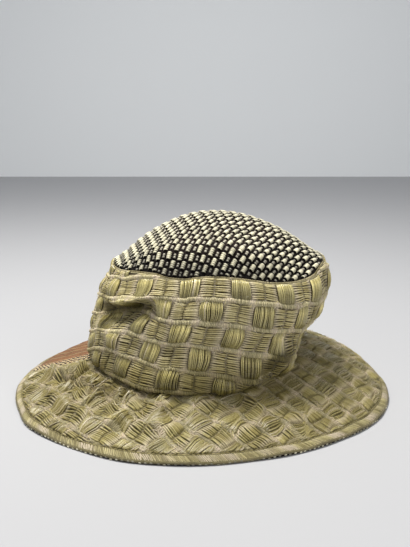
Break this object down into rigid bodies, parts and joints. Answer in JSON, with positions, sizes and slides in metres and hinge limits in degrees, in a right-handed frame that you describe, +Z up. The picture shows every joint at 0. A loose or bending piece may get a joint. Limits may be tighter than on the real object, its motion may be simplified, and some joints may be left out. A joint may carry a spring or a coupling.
{
  "type": "soft brimmed straw hat",
  "caption": "Soft slouched brimmed hat sewn from woven straw and raffia cloths: domed checked tip, basket-weave side band and wide sloping brim with an inset back panel.",
  "frame": {"origin": "on the resting plane, below the middle of the hat's outline seen from above", "axes": "+Z up, -Y the front of the hat as worn and shown, +X the right side as seen from the front"},
  "size_m": [0.3391, 0.3313, 0.1621],
  "materials": {
    "checked_straw": "black and cream woven straw, lightly glossy floats",
    "olive_raffia": "olive-green raffia basket weave with cream cords, silky floats",
    "olive_raffia_bias": "olive-green raffia basket weave cut on the bias, wrinkled",
    "terracotta_rib": "fine-ribbed terracotta weave with a checked edge",
    "checked_straw_under": "black and cream woven straw, matt"
  },
  "bodies": {
    "root": {"crown_tip": "checked_straw", "crown_band": "olive_raffia", "brim_top": "olive_raffia_bias", "brim_back_panel": "terracotta_rib", "brim_underside": "checked_straw_under"}
  },
  "joints": []
}
